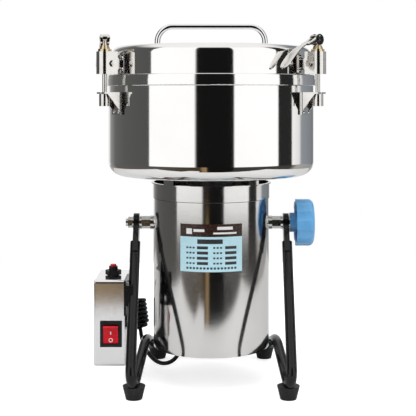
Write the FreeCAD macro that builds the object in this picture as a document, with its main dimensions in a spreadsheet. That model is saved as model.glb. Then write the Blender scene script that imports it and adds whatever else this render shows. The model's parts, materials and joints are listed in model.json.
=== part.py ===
"""Swing-type hammer mill for grain, in millimetres.

The origin is on the floor, below the axis of the motor and the grinding bowl.
+Z is up, and the rocker switch and the rating label face -Y.
"""
import FreeCAD, Part
import Sketcher
import math
import os
import re

from FreeCAD import Placement, Rotation, Vector

# Each driving size: alias, value in millimetres (angles in degrees), what it is.
SIZES = [
    ("bowl_radius", 135, "outside of the grinding bowl"),
    ("bowl_wall", 2, "thickness of the bowl"),
    ("bowl_base", 268, "underside of the bowl"),
    ("bowl_rim", 392.5, "top of the bowl"),
    ("bowl_corner", 18, "outer rounding at the bowl's base"),
    ("band_height", 9, "height of the band round the bowl's rim"),
    ("band_wall", 2.5, "thickness of the rim band"),
    ("lid_inset", 4, "how far the lid's wall stands inside the bowl's outside"),
    ("lid_wall", 1.5, "thickness of the lid"),
    ("flange_height", 5.5, "height of the lid's turned-down flange"),
    ("lid_height", 42.5, "height of the lid above the bowl's rim"),
    ("lid_corner", 10, "outer rounding at the lid's top"),
    ("handle_span", 142, "distance between the handle's legs"),
    ("handle_height", 31, "height of the handle above the lid"),
    ("handle_rod", 3.75, "radius of the handle's rod"),
    ("handle_corner", 20, "bend radius of the handle"),
    ("housing_radius", 76, "outside of the motor housing"),
    ("housing_wall", 1.5, "thickness of the motor housing"),
    ("housing_base", 44, "lower edge of the motor housing"),
    ("housing_rim", 237, "upper edge of the motor housing"),
    ("seam", 0.8, "dark seam between housing and collar"),
    ("collar_height", 20.2, "height of the collar below its tabs"),
    ("collar_grow", 1, "how far the collar stands outside the housing"),
    ("tab_width", 18, "width of the four tabs that carry the bowl"),
    ("pivot_height", 204, "height of the tilting axis"),
    ("plate_inner", 94.6, "inner face of the stand's flattened ends, from the middle"),
    ("plate_wall", 7.4, "thickness of the stand's flattened ends"),
    ("eye_radius", 12, "outer radius of the flattened ends"),
    ("stud_radius", 5, "radius of the pivot studs"),
    ("running_gap", 0.05, "radial clearance of a shaft in a hole"),
    ("small_gap", 0.3, "clearance between curved faces that only pass"),
    ("tube_radius", 6.5, "radius of the stand's tube"),
    ("foot_height", 16, "height of a rubber foot"),
    ("foot_top", 14, "upper radius of a rubber foot"),
    ("foot_base", 10, "lower radius of a rubber foot"),
    ("shaft_radius", 7.5, "radius of the motor shaft"),
    ("shaft_top", 312, "top of the motor shaft"),
    ("blade_reach", 120, "radius swept by the blades"),
    ("blade_width", 30, "width of a blade at its hub"),
    ("blade_thick", 3, "thickness of a blade"),
    ("box_inner", 110, "inner face of the switch box, from the middle"),
    ("box_width", 39.5, "width of the switch box"),
    ("box_front", 50, "front of the switch box, from the middle"),
    ("box_depth", 84, "depth of the switch box"),
    ("box_base", 27, "underside of the switch box"),
    ("box_height", 109.5, "height of the switch box"),
    ("box_wall", 1.2, "thickness of the switch box"),
    ("box_corner", 4, "rounding of the switch box"),
    ("bracket_wall", 2.6, "thickness of the plate between switch box and leg"),
    ("rocker_height", 68.5, "height of the middle of the rocker switch"),
    ("rocker_side", 127.3, "middle of the rocker switch, from the middle"),
    ("bezel_width", 27.5, "width of the rocker's bezel"),
    ("bezel_height", 32.5, "height of the rocker's bezel"),
    ("bezel_thick", 2.5, "how far the bezel stands proud"),
    ("rocker_width", 18.7, "width of the rocker"),
    ("rocker_radius", 12, "radius of the rocker's curved ends"),
    ("button_radius", 4, "radius of the breaker's button"),
    ("neck_radius", 5.8, "radius of the breaker's threaded neck"),
    ("neck_rise", 12, "height of the breaker's neck above the box"),
    ("knob_radius", 30.5, "radius of the locking knob"),
    ("knob_start", 103.5, "inner end of the locking knob's hub"),
    ("knob_length", 31, "length of the locking knob"),
    ("rod_stand", 18, "distance of the clamp rods from the bowl's wall"),
    ("rod_radius", 3, "radius of a clamp rod"),
    ("hinge_stand", 11, "distance of the clamp pivots from the bowl's wall"),
    ("hinge_height", 411, "height of the clamp pivots"),
    ("sleeve_radius", 10.5, "outer radius of a clamp sleeve"),
    ("sleeve_wall", 2, "thickness of a clamp sleeve"),
    ("sleeve_half", 14, "half the height of a clamp sleeve"),
    ("cam_pin_height", 443, "height of the cam lever's pin"),
    ("cam_radius", 7, "radius of the lever's cam discs"),
    ("cam_offset", 2.8, "how far the cam discs stand off their pin"),
    ("shelf_height", 375.5, "top of the catch shelf"),
    ("shelf_wall", 2, "thickness of the catch shelf"),
    ("shelf_stand", 23.5, "how far the catch shelf stands off the bowl's wall"),
    ("nut_radius", 7, "radius of the clamp's round nut"),
    ("nut_length", 15, "length of the clamp's round nut"),
    ("lever_length", 72, "length of the cam lever"),
    ("lever_width", 13, "width of the cam lever"),
    ("cord_radius", 2.75, "radius of the curly cord"),
    ("inlet_radius", 4, "bore of the mains inlet"),
    ("coil_radius", 14, "outer radius of the curly cord's coil"),
    ("coil_length", 44, "length of the curly cord's coil"),
]
ALIASES = {alias for alias, _, _ in SIZES}
SUMS = {"rod_ring": "(bowl_radius + rod_stand)", "hinge_ring": "(bowl_radius + hinge_stand)",
        "shelf_reach": "(bowl_radius + shelf_stand)"}
CLAMPS = {"front_right": -30, "rear": 90, "front_left": 210}

doc = FreeCAD.newDocument("HammerMill")
sheet = doc.addObject("Spreadsheet::Sheet", "Sizes")
for row, (alias, number, meaning) in enumerate(SIZES, start=1):
    sheet.set(f"A{row}", meaning)
    sheet.set(f"B{row}", str(number))
    sheet.setAlias(f"B{row}", alias)
doc.recompute()
nodes = []


def size(alias):
    """The value of one cell of the sheet."""
    return float(sheet.get(alias))


def formula(text):
    """An expression in which each sum is written out and each alias refers to its cell."""
    whole = re.sub(r"[a-z_]+", lambda word: SUMS.get(word[0], word[0]), str(text))
    return re.sub(r"[a-z_]+", lambda word: f"Sizes.{word[0]}" if word[0] in ALIASES else word[0],
                  whole)


def bind(item, **formulas):
    """Bind an object's properties to the sheet."""
    for name, text in formulas.items():
        item.setExpression(name, formula(text))
    return item


def move(item, x=0, y=0, z=0):
    """Bind an object's position to the sheet."""
    for axis, text in (("x", x), ("y", y), ("z", z)):
        item.setExpression(f"Placement.Base.{axis}", formula(text))
    return item


def node(item, label):
    """Mark an object as a finished sub-part under its own name."""
    item.Label = label
    nodes.append(item)
    return item


def tilt_to(axis):
    """The rotation that brings +Z onto the named axis."""
    return {"x": Rotation(Vector(0, 1, 0), 90), "y": Rotation(Vector(1, 0, 0), -90),
            "z": Rotation()}[axis]


def cylinder(radius, height, at=(0, 0, 0), axis="z", sweep=360, turn=0):
    """A cylinder that starts at a point and runs along an axis."""
    item = doc.addObject("Part::Cylinder", "Cylinder")
    item.Placement = Placement(Vector(), tilt_to(axis) * Rotation(Vector(0, 0, 1), turn))
    item.Angle = sweep
    bind(item, Radius=radius, Height=height)
    return move(item, *at)


def cone(radius_start, radius_end, height, at=(0, 0, 0), axis="z"):
    """A cone that starts at a point and runs along an axis."""
    item = doc.addObject("Part::Cone", "Cone")
    item.Placement = Placement(Vector(), tilt_to(axis))
    bind(item, Radius1=radius_start, Radius2=radius_end, Height=height)
    return move(item, *at)


def box(length, width, height, at=(0, 0, 0)):
    """A box from its lowest corner."""
    item = doc.addObject("Part::Box", "Box")
    bind(item, Length=length, Width=width, Height=height)
    return move(item, *at)


def hexagon(radius, height, at=(0, 0, 0), axis="z"):
    """A hexagonal prism; the radius is to its corners."""
    item = doc.addObject("Part::Prism", "Prism")
    item.Polygon = 6
    item.Placement = Placement(Vector(), tilt_to(axis))
    bind(item, Circumradius=radius, Height=height)
    return move(item, *at)


def fused(*pieces):
    """Several shapes joined into one."""
    item = doc.addObject("Part::MultiFuse", "Fusion")
    item.Shapes = list(pieces)
    return item


def cut(base, *tools):
    """A shape with others taken out of it."""
    item = doc.addObject("Part::Cut", "Cut")
    item.Base = base
    item.Tool = tools[0] if len(tools) == 1 else fused(*tools)
    return item


def common(first, second):
    """What two shapes share."""
    item = doc.addObject("Part::Common", "Common")
    item.Base = first
    item.Tool = second
    return item


def group(*pieces):
    """Separate solids kept together."""
    item = doc.addObject("Part::Compound", "Group")
    item.Links = list(pieces)
    return item


def ring(outer, inner, height, at=(0, 0, 0), axis="z", bore_over=1):
    """A round ring."""
    bore = cylinder(inner, f"{height} + {2 * bore_over}", at, axis)
    shift = {"x": 0, "y": 1, "z": 2}[axis]
    start = [str(text) for text in at]
    start[shift] = f"{start[shift]} - {bore_over}"
    move(bore, *start)
    return cut(cylinder(outer, height, at, axis), bore)


def turned(item, degrees):
    """A copy of a shape turned about the mill's axis."""
    copy = group(item)
    copy.Placement = Placement(Vector(), Rotation(Vector(0, 0, 1), degrees))
    return copy


def plane_of(body, role):
    """One of a body's own origin planes."""
    return next(feature for feature in body.Origin.OriginFeatures if feature.Role == role)


def outline_sketch(body, role, corners):
    """A closed outline whose corners are bound to the sheet."""
    sketch = body.newObject("Sketcher::SketchObject", "Outline")
    sketch.AttachmentSupport = (plane_of(body, role), "")
    sketch.MapMode = "FlatFace"
    count = len(corners)
    start = [Vector(10 * math.cos(i * math.tau / count) + 200,
                    10 * math.sin(i * math.tau / count) + 200) for i in range(count)]
    for i in range(count):
        sketch.addGeometry(Part.LineSegment(start[i], start[(i + 1) % count]), False)
    for i in range(count):
        sketch.addConstraint(Sketcher.Constraint("Coincident", i, 2, (i + 1) % count, 1))
    for i, corner in enumerate(corners):
        for kind, text, here in zip(("DistanceX", "DistanceY"), corner, start[i]):
            number = sketch.addConstraint(Sketcher.Constraint(kind, -1, 1, i, 1, here))
            sketch.setExpression(f"Constraints[{number}]", formula(text))
    return sketch


def round_edges(body, feature, radius, wanted):
    """Fillet the edges of a body's feature that a test picks."""
    doc.recompute()
    names = [f"Edge{i}" for i, edge in enumerate(feature.Shape.Edges, start=1) if wanted(edge)]
    fillet = body.newObject("PartDesign::Fillet", "Rounding")
    fillet.Base = (feature, names)
    fillet.setExpression("Radius", formula(radius))
    body.Tip = fillet
    return fillet


def circle_at(radius, height):
    """A test for the round edge at a radius and a height."""
    def test(edge):
        curve = edge.Curve
        return (hasattr(curve, "Radius") and abs(curve.Radius - radius) < 0.01
                and abs(curve.Center.z - height) < 0.01)
    return test


def revolved(corners, roundings=()):
    """A body turned about Z from an outline of (radius, height) corners."""
    body = doc.addObject("PartDesign::Body", "Body")
    sketch = outline_sketch(body, "XZ_Plane", corners)
    feature = body.newObject("PartDesign::Revolution", "Revolution")
    feature.Profile = sketch
    feature.ReferenceAxis = (sketch, ["V_Axis"])
    feature.Angle = 360
    sketch.Visibility = False
    body.Tip = feature
    for radius, ring_radius, height in roundings:
        feature = round_edges(body, feature, radius, circle_at(ring_radius, height))
    return body


def padded(corners, thickness, role="XY_Plane", both_ways=False):
    """A body made by padding an outline."""
    body = doc.addObject("PartDesign::Body", "Body")
    sketch = outline_sketch(body, role, corners)
    pad = body.newObject("PartDesign::Pad", "Pad")
    pad.Profile = sketch
    pad.Midplane = both_ways
    pad.setExpression("Length", formula(thickness))
    sketch.Visibility = False
    body.Tip = pad
    return body


def bent_wire(points, radii):
    """Straight runs joined by tangent arcs, one radius for each inner point."""
    edges = []
    here = Vector(*points[0])
    for before, corner, after, radius in zip(points, points[1:], points[2:], radii):
        middle = Vector(*corner)
        back = (Vector(*before) - middle).normalize()
        ahead = (Vector(*after) - middle).normalize()
        half_turn = (math.pi - back.getAngle(ahead)) / 2
        reach = radius * math.tan(half_turn)
        toward = (back + ahead).normalize()
        top = middle + toward * (radius / math.cos(half_turn) - radius)
        edges.append(Part.LineSegment(here, middle + back * reach).toShape())
        edges.append(Part.Arc(middle + back * reach, top, middle + ahead * reach).toShape())
        here = middle + ahead * reach
    edges.append(Part.LineSegment(here, Vector(*points[-1])).toShape())
    return Part.Wire(edges)


def loose_radii(points):
    """The largest tangent arcs that a cord's runs allow."""
    radii = []
    for before, corner, after in zip(points, points[1:], points[2:]):
        back = Vector(*before) - Vector(*corner)
        ahead = Vector(*after) - Vector(*corner)
        half_turn = (math.pi - back.getAngle(ahead)) / 2
        radii.append(0.45 * min(back.Length, ahead.Length) / math.tan(half_turn))
    return radii


def tube(points, radii, radius):
    """A round bar along a bent path."""
    spine = doc.addObject("Part::Feature", "Spine")
    spine.Shape = bent_wire(points, radii)
    profile = doc.addObject("Part::Circle", "Profile")
    bind(profile, Radius=radius)
    heading = Vector(*points[1]) - Vector(*points[0])
    profile.Placement = Placement(Vector(*points[0]), Rotation(Vector(0, 0, 1), heading))
    sweep = doc.addObject("Part::Sweep", "Tube")
    sweep.Sections = [profile]
    sweep.Spine = (spine, [f"Edge{i}" for i in range(1, len(spine.Shape.Edges) + 1)])
    sweep.Solid = True
    sweep.Frenet = False
    return sweep


# ---------------------------------------------------------------- the stand

LEG_PIVOT_SIDE = 98.3
FOOT_BEND, APEX_BEND, REAR_BEND = 14, 60, 20
FOOT_PLACES = [(94.6, -95, 0), (75, 97, 0), (-75, 97, 0), (-94.6, -95, 0)]


def stand_path():
    """The stand's single tube: front leg, foot bend, arch, rear cross tube and back again."""
    foot_corner = (97.5, -128.5, 5)
    rise = size("pivot_height") - foot_corner[2]
    leg_top = size("pivot_height") - 24
    share = (size("pivot_height") - leg_top) / rise
    half = [(99, foot_corner[1] * share, leg_top), foot_corner, (86, 2, 51), (79, 101, 18.5)]
    other = [(-x, y, z) for x, y, z in reversed(half)]
    return half + other, [FOOT_BEND, APEX_BEND, REAR_BEND, REAR_BEND, APEX_BEND, FOOT_BEND]


def leg_end(side):
    """The flattened end of one leg, with the eye for its pivot stud."""
    start = "plate_inner" if side > 0 else "-plate_inner - plate_wall"
    eye = cylinder("eye_radius", "plate_wall", (start, 0, "pivot_height"), "x")
    strip = box("plate_wall", 17, 44, (start, 0, 0))
    lean = math.degrees(math.atan2(128.5, size("pivot_height") - 5))
    turn = Rotation(Vector(1, 0, 0), -lean)
    low = Vector(0, -8.5, -44)
    place = turn.multVec(low) + Vector(0, 0, size("pivot_height"))
    strip.Placement = Placement(place, turn)
    move(strip, start, place.y, f"pivot_height + {place.z - size('pivot_height'):.4f}")
    return fused(eye, strip)


def stand():
    """The bent tube with its two flattened ends, and its four rubber feet."""
    points, radii = stand_path()
    bar = tube(points, radii, "tube_radius")
    whole = fused(bar, leg_end(1), leg_end(-1))
    holes = [cylinder("stud_radius + running_gap", "plate_wall + 2",
                      (start, 0, "pivot_height"), "x")
             for start in ("plate_inner - 1", "-plate_inner - plate_wall - 1")]
    node(cut(whole, *holes), "stand_frame")
    feet = group(*[cone("foot_base", "foot_top", "foot_height", place) for place in FOOT_PLACES])
    groove = tube(points, radii, "tube_radius + running_gap")
    node(cut(feet, groove), "rubber_feet")


# ----------------------------------------------------------- the switch box

def straight_along(direction):
    """A test for straight edges in one direction."""
    def test(edge):
        return (edge.Curve.TypeId == "Part::GeomLine"
                and abs(edge.Curve.Direction.dot(direction)) > 0.999)
    return test


def switch_box():
    """The sheet-metal box with its lid plate towards the leg."""
    low = ("-box_inner - box_width", "-box_front", "box_base")
    body = doc.addObject("PartDesign::Body", "Body")
    block = body.newObject("PartDesign::AdditiveBox", "Block")
    bind(block, Length="box_width", Width="box_depth", Height="box_height")
    body.Tip = block
    rounded = round_edges(body, block, "box_corner", straight_along(Vector(1, 0, 0)))

    def outer_edge(edge):
        return all(abs(vertex.X) < 0.01 for vertex in edge.Vertexes)
    round_edges(body, rounded, "box_corner / 2", outer_edge)
    move(body, *low)
    hollow = box("box_width", "box_depth - 2 * box_wall", "box_height - 2 * box_wall",
                 ("-box_inner - box_width + box_wall", "-box_front + box_wall",
                  "box_base + box_wall"))
    window = box("bezel_width - 3", 10, "bezel_height - 3",
                 ("-rocker_side - bezel_width / 2 + 1.5", "-box_front - 5",
                  "rocker_height - bezel_height / 2 + 1.5"))
    neck_hole = cylinder("neck_radius + running_gap", 10, (-128, -12, "box_base + box_height - 5"))
    mains_hole = cylinder(5.05, 10, (-130, "box_depth - box_front - 5", 46), "y")
    cord_hole = cylinder(5.05, 10, (-140, "box_depth - box_front - 5", 112), "y")
    node(cut(body, hollow, window, neck_hole, mains_hole, cord_hole), "switch_box")
    plate = box("box_wall", "box_depth - 2 * box_wall - 0.2", "box_height - 2 * box_wall - 0.2",
                ("-box_inner - box_wall", "-box_front + box_wall + 0.1",
                 "box_base + box_wall + 0.1"))
    screws = []
    holes = []
    for y in (-38, -20):
        for z in (104, 128):
            shank = cylinder(2, 10, ("-box_inner - 6", y, z), "x")
            head = cylinder(3.6, 2.4, ("-box_inner + bracket_wall", y, z), "x")
            screws.append(fused(shank, head))
            holes.append(cylinder("2 + running_gap", 12, ("-box_inner - 8", y, z), "x"))
    node(cut(plate, *holes), "switch_box_cover")
    node(group(*screws), "bracket_screws")
    return holes


def bracket(holes):
    """The plate that carries the switch box on the left leg."""
    plate = box("bracket_wall", 50, 44, ("-box_inner", -62, 94))
    saddle = box(10, 17, 26, ("-box_inner + bracket_wall / 2", -62, 106))
    points, radii = stand_path()
    left = [(-x, y, z) for x, y, z in points[:3]]
    leg = tube(left, radii[:1], "tube_radius + running_gap")
    node(cut(fused(plate, saddle), leg, *holes), "box_bracket")


def rocker_switch():
    """Bezel with the switch body behind it, and the rocker that tips in it."""
    front = "-box_front - bezel_thick"
    bezel = box("bezel_width", "bezel_thick", "bezel_height",
                ("-rocker_side - bezel_width / 2", front, "rocker_height - bezel_height / 2"))
    barrel = box("bezel_width - 3.2", 22, "bezel_height - 3.2",
                 ("-rocker_side - bezel_width / 2 + 1.6", "-box_front",
                  "rocker_height - bezel_height / 2 + 1.6"))
    well = box("rocker_width + 0.6", 18, "2 * rocker_radius + 0.6",
               ("-rocker_side - rocker_width / 2 - 0.3", "-box_front - bezel_thick - 1",
                "rocker_height - rocker_radius - 0.3"))
    node(cut(fused(bezel, barrel), well), "rocker_bezel")
    rest = math.radians(9.5)
    profile = []
    for depth, rise in ((2, 12.5), (5.5, 12.5), (3, 0), (5.5, -12.5), (2, -12.5), (-4, 0)):
        forward = depth * math.cos(rest) + rise * math.sin(rest)
        up = rise * math.cos(rest) - depth * math.sin(rest)
        profile.append((f"-box_front - 1 + 2 - {forward + 1.5:.4f}", f"rocker_height + {up:.4f}"))
    prism = padded(profile, "rocker_width", "YZ_Plane", both_ways=True)
    move(prism, "-rocker_side")
    drum = cylinder("rocker_radius", "rocker_width",
                    ("-rocker_side - rocker_width / 2", "-box_front + 1", "rocker_height"), "x")
    axle = cylinder(1.5, "rocker_width",
                    ("-rocker_side - rocker_width / 2", "-box_front + 1", "rocker_height"), "x")
    node(fused(common(prism, drum), axle), "rocker")


def breaker():
    """Push-button breaker: body, ring nut and button."""
    top = "box_base + box_height"
    can = cylinder(9, 26, (-128, -12, f"{top} - box_wall - 26"))
    neck = cylinder("neck_radius", "neck_rise + box_wall", (-128, -12, f"{top} - box_wall"))
    bore = cylinder("button_radius + running_gap", 40, (-128, -12, f"{top} - 8"))
    node(cut(fused(can, neck), bore), "breaker_body")
    nut = hexagon(10.4, 6.2, (-128, -12, f"{top} + 1"))
    washer = cylinder(7.6, 1, (-128, -12, top))
    hole = cylinder("neck_radius + running_gap", 20, (-128, -12, f"{top} - 5"))
    node(cut(fused(nut, washer), hole), "breaker_nut")
    stem = cylinder("button_radius", 15, (-128, -12, f"{top} + neck_rise + 2.6 - 15"))
    node(stem, "reset_button")


# ------------------------------------------------------- housing and trunnions

def motor_housing():
    """Drawn steel tube with its base cover, and the collar that carries the bowl."""
    inner = "housing_radius - housing_wall"
    shell = revolved([(inner, "housing_base"), ("housing_radius", "housing_base"),
                      ("housing_radius", "housing_rim"), (inner, "housing_rim")])
    rivets = [cylinder("2 + running_gap", 400, (-200, 0, "pivot_height"), "x")]
    node(cut(shell, *rivets), "motor_housing")
    cover = revolved([(0, "housing_base + 0.5"), (f"{inner} - 0.1", "housing_base + 0.5"),
                      (f"{inner} - 0.1", "housing_base + 12"), (f"{inner} - 1.6", "housing_base + 12"),
                      (f"{inner} - 1.6", "housing_base + 2.5"), (0, "housing_base + 2.5")])
    vents = []
    for ring_radius, count in ((30, 10), (44, 14), (58, 18)):
        for i in range(count):
            angle = math.tau * i / count
            x, y = ring_radius * math.cos(angle), ring_radius * math.sin(angle)
            if math.hypot(x + 40, y - 22) > 13:
                vents.append(cylinder(3, 6, (x, y, "housing_base - 1")))
    cord_hole = cylinder(5.05, 6, (-40, 22, "housing_base - 1"))
    node(cut(cover, cord_hole, *vents), "base_cover")
    outer = "housing_radius + collar_grow"
    foot = "housing_rim + seam"
    top = f"{foot} + collar_height"
    band = revolved([(f"{outer} - 1.5", foot), (outer, foot), (outer, f"{top} - 1.2"),
                     (f"{outer} + 2", f"{top} - 1.2"), (f"{outer} + 2", top),
                     (f"{outer} - 1.5", top)])
    tabs = ring(outer, f"{outer} - 1.5", f"bowl_base - ({top})", (0, 0, top))
    strips = []
    for turn in (45, 135):
        strip = box(200, "tab_width", 20, (0, 0, top))
        strip.Placement = Placement(Vector(), Rotation(Vector(0, 0, 1), turn))
        reach = Vector(-100, -size("tab_width") / 2, 0)
        at = Rotation(Vector(0, 0, 1), turn).multVec(reach)
        move(strip, at.x, at.y, top)
        strips.append(strip)
    node(fused(band, common(tabs, fused(*strips))), "collar")
    label = cut(cylinder("housing_radius + 0.4", 59.5, (0, 0, 151.5), sweep=60.8, turn=239.6),
                cylinder("housing_radius + 0.1", 61, (0, 0, 150.5)))
    node(label, "rating_label")


def trunnions():
    """Hexagonal pivots on the housing's sides, the nut, and the locking knob."""
    reach = "plate_inner - small_gap - housing_radius"
    curve = cylinder("housing_radius + running_gap", 60, (0, 0, "pivot_height - 30"))
    for name, side in (("left", -1), ("right", 1)):
        if side > 0:
            flange = cylinder(9, 7, ("housing_radius - 3", 0, "pivot_height"), "x")
            hexed = hexagon(8.2, f"{reach} - 7", ("housing_radius + 4", 0, "pivot_height"), "x")
            washer = cylinder(8.6, 3, ("plate_inner - small_gap - 3", 0, "pivot_height"), "x")
            bore = cylinder("stud_radius + running_gap", 40, ("housing_radius + 2", 0,
                                                              "pivot_height"), "x")
            node(cut(fused(flange, hexed, washer), curve, bore), "trunnion_right")
        else:
            flange = cylinder(9, 7, ("-housing_radius - 4", 0, "pivot_height"), "x")
            hexed = hexagon(8.2, f"{reach} - 7", ("-plate_inner + small_gap + 3", 0,
                                                  "pivot_height"), "x")
            washer = cylinder(8.6, 3, ("-plate_inner + small_gap", 0, "pivot_height"), "x")
            stud = cylinder("stud_radius", 32, (-112.5, 0, "pivot_height"), "x")
            node(cut(fused(flange, hexed, washer, stud), curve), "trunnion_left")
    outer = "-plate_inner - plate_wall - small_gap"
    washer = cylinder(8, 1.2, (f"{outer} - 1.2", 0, "pivot_height"), "x")
    nut = hexagon(7.2, 6, (f"{outer} - 7.2", 0, "pivot_height"), "x")
    hole = cylinder("stud_radius + running_gap", 20, (f"{outer} - 15", 0, "pivot_height"), "x")
    node(cut(fused(washer, nut), hole), "pivot_nut")
    node(ring(9, "stud_radius + running_gap", 1, ("knob_start - 1.1", 0, "pivot_height"), "x"),
         "lock_washer")


def lock_knob():
    """Blue cup-shaped knob, open towards the leg, with its threaded stud."""
    shape = revolved([(0, 0), (12.75, 0), (12.75, "knob_length - 6"),
                      ("knob_radius - 3.5", "knob_length - 6"), ("knob_radius - 3.5", 9),
                      ("knob_radius", 7.5), ("knob_radius", "knob_length"), (0, "knob_length")],
                     [(7, size("knob_radius"), size("knob_length"))])
    dents = []
    for i in range(8):
        angle = math.tau * (i + 0.5) / 8
        dents.append(cylinder(26, 60, (f"(knob_radius + 24.6) * {math.cos(angle):.5f}",
                                       f"(knob_radius + 24.6) * {math.sin(angle):.5f}", -5)))
    cup = cut(shape, *dents)
    stud = cylinder("stud_radius", "knob_start - housing_radius - 5",
                    (0, 0, "-(knob_start - housing_radius - 5)"))
    knob = fused(cup, stud)
    knob.Placement = Placement(Vector(), tilt_to("x"))
    move(knob, "knob_start", 0, "pivot_height")
    node(knob, "lock_knob")


# ------------------------------------------------------------- inside the motor

def motor():
    """Universal motor: stator, brushes, end brackets, bearings and rotor."""
    inner = "housing_radius - housing_wall"
    pack = ring(62, 34, 80, (0, 0, 110))
    lugs = []
    for turn in (45, 135):
        lug = box(120, 12, 60, (0, 0, 120))
        lug.Placement = Placement(Vector(), Rotation(Vector(0, 0, 1), turn))
        at = Rotation(Vector(0, 0, 1), turn).multVec(Vector(-80, -6, 0))
        bind(lug, Length=160)
        move(lug, at.x, at.y, 120)
        lugs.append(lug)
    arms = common(ring(f"{inner} - small_gap", 60, 60, (0, 0, 120)), fused(*lugs))
    node(fused(pack, arms), "stator_core")
    node(group(ring(58, 38, 9, (0, 0, 190)), ring(58, 38, 7, (0, 0, 103))), "field_windings")
    node(revolved([("shaft_radius + 1.5", 240), (21.9, 240), (21.9, 226), (f"{inner} - 0.3", 226),
                   (f"{inner} - 0.3", "housing_rim"), ("housing_radius - 0.4", "housing_rim"),
                   ("housing_radius - 0.4", "housing_rim + seam"), (70, "housing_rim + seam"),
                   (70, 232), (28, 232), (28, "bowl_base"), ("shaft_radius + 1.5", "bowl_base")]),
         "upper_bracket")
    node(revolved([("shaft_radius + 1.5", 58), (f"{inner} - 0.3", 58), (f"{inner} - 0.3", 62),
                   (26, 62), (26, 80), (20.1, 80), (20.1, 64), ("shaft_radius + 1.5", 64)]),
         "lower_bracket")
    fit = "shaft_radius + running_gap"
    node(group(ring(21.8, fit, 13.8, (0, 0, 226.2)), ring(20, fit, 14, (0, 0, 64))),
         "motor_bearings")
    holders = []
    brushes = []
    for side in (1, -1):
        start = 20 if side > 0 else -48
        block = box(14, 28, 16, (-7, start, 86))
        post = box(14, 10, 24, (-7, 38 if side > 0 else -48, 62))
        slot = box(8.2, 30, 10.2, (-4.1, start - 1, 88.9))
        holders.append(cut(fused(block, post), slot))
        brushes.append(box(8, 22, 10, (-4, 18.4 if side > 0 else -40.4, 89)))
    node(group(*holders), "brush_holders")
    node(group(*brushes), "carbon_brushes")
    node(cylinder("shaft_radius", "shaft_top - 60", (0, 0, 60)), "motor_shaft")
    node(ring(33, fit, 76, (0, 0, 112)), "armature_core")
    node(group(ring(30, fit, 7, (0, 0, 105)), ring(30, fit, 9, (0, 0, 188))), "armature_windings")
    node(ring(18, fit, 20, (0, 0, 84)), "commutator")
    hub = ring(14, fit, 14, (0, 0, 205))
    disc = ring(60, 13, 2, (0, 0, 205))
    vanes = []
    for i in range(9):
        angle = 40 * i
        vane = box(44, 2, 11, (0, 0, 206))
        turn = Rotation(Vector(0, 0, 1), angle)
        at = turn.multVec(Vector(15, -1, 0))
        vane.Placement = Placement(at, turn)
        move(vane, at.x, at.y, 206)
        vanes.append(vane)
    node(fused(hub, disc, *vanes), "cooling_fan")
    node(revolved([(fit, 262), ("shaft_radius + 1.4", 262), ("shaft_radius + 1.4", "bowl_base"),
                   (13.9, "bowl_base"), (13.9, "bowl_base + bowl_wall"),
                   (22, "bowl_base + bowl_wall"), (22, "bowl_base + bowl_wall + 2"),
                   (15, "bowl_base + 7"), (fit, "bowl_base + 7")]), "shaft_seal")


def blades():
    """Two layers of beating blades with their spacers and nut."""
    fit = "shaft_radius + running_gap"
    heights = (285, 299)
    for name, height, turn in (("lower", heights[0], 20), ("upper", heights[1], 80)):
        tip = "blade_width * 0.6"
        bar = padded([("-blade_reach", f"-{tip} / 2"), (-20, "-blade_width / 2"),
                      (20, "-blade_width / 2"), ("blade_reach", f"-{tip} / 2"),
                      ("blade_reach", f"{tip} / 2"), (20, "blade_width / 2"),
                      (-20, "blade_width / 2"), ("-blade_reach", f"{tip} / 2")], "blade_thick")
        move(bar, 0, 0, height)
        whole = cut(bar, cylinder(fit, 20, (0, 0, height - 5)))
        node(turned(whole, turn), f"blade_{name}")
    gap = f"{heights[1]} - ({heights[0]} + blade_thick)"
    node(group(ring(13, fit, "8.5", (0, 0, 276.5)),
               ring(13, fit, gap, (0, 0, f"{heights[0]} + blade_thick"))), "blade_spacers")
    nut = hexagon(12.5, 8, (0, 0, f"{heights[1]} + blade_thick"))
    node(cut(nut, cylinder(fit, 30, (0, 0, 295))), "blade_nut")


# ------------------------------------------------------------- bowl and lid

def bowl():
    """Drawn bowl with the band round its rim."""
    inside = "bowl_radius - bowl_wall"
    wall = size("bowl_wall")
    node(revolved([(14, "bowl_base"), ("bowl_radius", "bowl_base"), ("bowl_radius", "bowl_rim"),
                   (inside, "bowl_rim"), (inside, "bowl_base + bowl_wall"),
                   (14, "bowl_base + bowl_wall")],
                  [("bowl_corner", size("bowl_radius"), size("bowl_base")),
                   ("bowl_corner - bowl_wall", size("bowl_radius") - wall,
                    size("bowl_base") + wall)]), "bowl")
    low = "bowl_rim - band_height"
    outer = "bowl_radius + band_wall"
    node(revolved([("bowl_radius", low), (outer, low), (outer, "bowl_rim"),
                   ("bowl_radius", "bowl_rim")],
                  [(1.2, size("bowl_radius") + size("band_wall"),
                    size("bowl_rim") - size("band_height"))]), "rim_band")


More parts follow.
